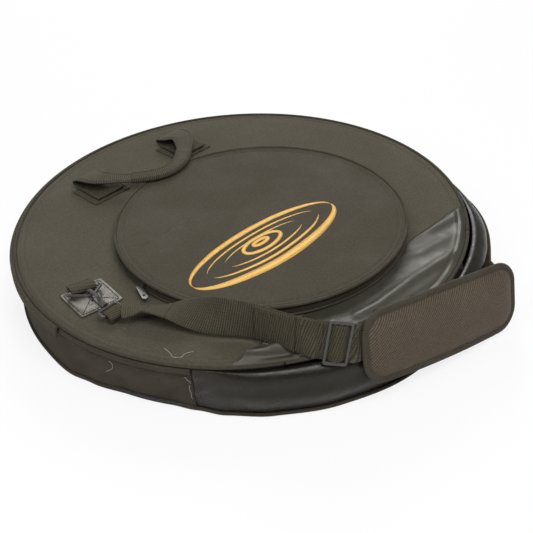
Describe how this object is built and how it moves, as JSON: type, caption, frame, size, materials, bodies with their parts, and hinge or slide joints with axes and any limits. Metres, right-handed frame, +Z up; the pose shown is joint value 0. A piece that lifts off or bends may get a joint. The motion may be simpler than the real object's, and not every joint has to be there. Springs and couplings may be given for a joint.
{
  "type": "cymbal bag",
  "caption": "Soft round cymbal bag with a zip lid, round front pocket, carry handle and a shoulder strap with snap hooks, adjuster and pad",
  "frame": {"origin": "centre of the flat back face that the bag lies on", "axes": "+Z up from the back face through the front panel, +Y from the centre towards the carry handle, -Y towards the vinyl bottom edge where the lid folds, +X to the right seen from the front"},
  "size_m": [0.6691, 0.7107, 0.131],
  "materials": {
    "woven_nylon": "woven nylon, matt",
    "gusset_nylon": "woven nylon, matt",
    "vinyl": "soft vinyl, satin",
    "piping_cord": "fabric covered cord",
    "zip_tape": "woven tape",
    "zip_coil": "nylon coil",
    "lining": "brushed lining",
    "foam": "covered foam",
    "webbing": "ribbed webbing",
    "hard_plastic": "satin black moulding",
    "zinc": "dark plated",
    "pad_fabric": "brushed fabric over foam"
  },
  "bodies": {
    "shell": {"back_panel": "woven_nylon", "back_vinyl_panel": "vinyl", "back_lining": "lining", "back_piping": "piping_cord", "lower_gusset": "gusset_nylon", "vinyl_gusset": "vinyl", "bottom_gusset_strip": "vinyl", "front_vinyl_panel": "vinyl", "front_piping_bottom": "piping_cord", "zip_tape_lower": "zip_tape", "zip_chain_lower": "zip_coil", "inner_padding": "foam", "ring_patch_right": "webbing", "ring_tab_right": "webbing", "strap_rim_run": "webbing", "strap_pad_run": "webbing", "strap_back_run": "webbing"},
    "lid": {"front_panel": "woven_nylon", "lid_vinyl_panel": "vinyl", "front_lining": "lining", "front_piping": "piping_cord", "zip_tape_upper": "zip_tape", "zip_chain_upper": "zip_coil", "upper_gusset": "gusset_nylon", "zip_flap": "gusset_nylon", "pocket_gusset": "gusset_nylon", "pocket_base_piping": "piping_cord", "pocket_zip_lower": "zip_coil", "pocket_bottom_gusset": "gusset_nylon", "pocket_sewn_face": "woven_nylon", "pocket_sewn_piping": "piping_cord", "handle_patch_left": "webbing", "handle_patch_right": "webbing", "ring_patch_left": "webbing", "ring_tab_left": "webbing", "strap_front_run": "webbing"},
    "pocket_flap": {"pocket_face": "woven_nylon", "pocket_zip_upper": "zip_coil", "pocket_face_piping": "piping_cord"},
    "handle": {"carry_handle": "webbing"},
    "divider_leaf": {"divider": "lining", "divider_binding": "piping_cord"},
    "slider_left": {"main_slider_left": "zinc"},
    "slider_left_pull": {"main_pull_left": "zinc"},
    "slider_right": {"main_slider_right": "zinc"},
    "slider_right_pull": {"main_pull_right": "zinc"},
    "pocket_runner": {"pocket_slider": "zinc"},
    "pocket_runner_pull": {"pocket_pull": "zinc"},
    "left_ring": {"ring_left": "hard_plastic"},
    "left_hook": {"snap_hook_left": "hard_plastic"},
    "left_gate": {"hook_gate_left": "zinc"},
    "left_eye": {"strap_eye_left": "hard_plastic"},
    "right_ring": {"ring_right": "hard_plastic"},
    "right_hook": {"snap_hook_right": "hard_plastic"},
    "right_gate": {"hook_gate_right": "zinc"},
    "right_eye": {"strap_eye_right": "hard_plastic"},
    "strap_adjuster": {"adjuster": "hard_plastic", "strap_keeper": "webbing"},
    "pad": {"shoulder_pad": "pad_fabric", "pad_backing": "webbing"}
  },
  "joints": [
    {"name": "lid_fold", "type": "hinge", "parent": "shell", "child": "lid", "pos_m": [0, -0.26213, 0.078], "axis": [1, 0, 0], "range_deg": [0, 95], "deforming": ["strap_front_run", "strap_rim_run"]},
    {"name": "pocket_lift", "type": "hinge", "parent": "lid", "child": "pocket_flap", "pos_m": [0, -0.15617, 0.09555], "axis": [1, 0, 0], "range_deg": [0, 60]},
    {"name": "handle_lift", "type": "hinge", "parent": "lid", "child": "handle", "pos_m": [0, 0.247, 0.082], "axis": [-1, 0, 0], "range_deg": [0, 110], "deforming": ["carry_handle"]},
    {"name": "divider_lift", "type": "hinge", "parent": "shell", "child": "divider_leaf", "pos_m": [0, -0.2933, 0.0061], "axis": [1, 0, 0], "range_deg": [0, 5.5]},
    {"name": "left_slider_run", "type": "hinge", "parent": "shell", "child": "slider_left", "pos_m": [0, 0, 0.065], "axis": [0, 0, 1], "range_deg": [0, 121]},
    {"name": "left_pull_swing", "type": "hinge", "parent": "slider_left", "child": "slider_left_pull", "pos_m": [-0.01241, 0.32301, 0.0649], "axis": [0.9993, 0.0384, 0], "range_deg": [0, 15]},
    {"name": "right_slider_run", "type": "hinge", "parent": "shell", "child": "slider_right", "pos_m": [0, 0, 0.065], "axis": [0, 0, 1], "range_deg": [-62, 0]},
    {"name": "right_pull_swing", "type": "hinge", "parent": "slider_right", "child": "slider_right_pull", "pos_m": [0.01241, 0.32301, 0.0649], "axis": [0.9993, -0.0384, 0], "range_deg": [0, 15]},
    {"name": "pocket_slider_run", "type": "hinge", "parent": "lid", "child": "pocket_runner", "pos_m": [0, -0.041, 0.086], "axis": [0, 0, 1], "range_deg": [-207, 37]},
    {"name": "pocket_pull_swing", "type": "hinge", "parent": "pocket_runner", "child": "pocket_runner_pull", "pos_m": [-0.20781, -0.02282, 0.0842], "axis": [-0.9272, 0.3746, 0], "range_deg": [0, 60]},
    {"name": "left_ring_turn", "type": "hinge", "parent": "lid", "child": "left_ring", "pos_m": [-0.26, 0.027, 0.0843], "axis": [-0.9613, 0.2756, 0], "range_deg": [0, 110]},
    {"name": "left_hook_turn", "type": "hinge", "parent": "left_ring", "child": "left_hook", "pos_m": [-0.26877, -0.00469, 0.09572], "axis": [-0.9994, -0.0349, 0], "range_deg": [0, 60]},
    {"name": "left_gate_spring", "type": "hinge", "parent": "left_hook", "child": "left_gate", "pos_m": [-0.26825, -0.01977, 0.08781], "axis": [0.9994, 0.0349, 0], "range_deg": [0, 20], "stiffness_Nm_per_rad": 0.02, "springref_deg": -11.46},
    {"name": "left_eye_swivel", "type": "hinge", "parent": "left_hook", "child": "left_eye", "pos_m": [-0.26788, -0.03011, 0.09032], "axis": [0.0341, -0.9776, -0.2079], "range_deg": [-20, 20]},
    {"name": "right_ring_turn", "type": "hinge", "parent": "shell", "child": "right_ring", "pos_m": [0.30985, 0.10068, 0.033], "axis": [0, 0, 1], "range_deg": [0, 90]},
    {"name": "right_hook_turn", "type": "hinge", "parent": "right_ring", "child": "right_hook", "pos_m": [0.33089, 0.07289, 0.033], "axis": [0, 0, 1], "range_deg": [0, 60]},
    {"name": "right_gate_spring", "type": "hinge", "parent": "right_hook", "child": "right_gate", "pos_m": [0.32803, 0.0561, 0.033], "axis": [0, 0, -1], "range_deg": [0, 20], "stiffness_Nm_per_rad": 0.02, "springref_deg": -11.46},
    {"name": "right_eye_swivel", "type": "hinge", "parent": "right_hook", "child": "right_eye", "pos_m": [0.33361, 0.04703, 0.033], "axis": [0.1045, -0.9945, 0], "range_deg": [-20, 20]},
    {"name": "adjuster_slide", "type": "slide", "parent": "shell", "child": "strap_adjuster", "axis": [-0.7222, 0.662, 0.2006], "range_m": [0, 0.008], "deforming": ["strap_keeper"]},
    {"name": "pad_slide", "type": "slide", "parent": "shell", "child": "pad", "axis": [0.9775, -0.1779, -0.1134], "range_m": [0, 0.03], "deforming": ["strap_pad_run", "strap_back_run"]}
  ]
}
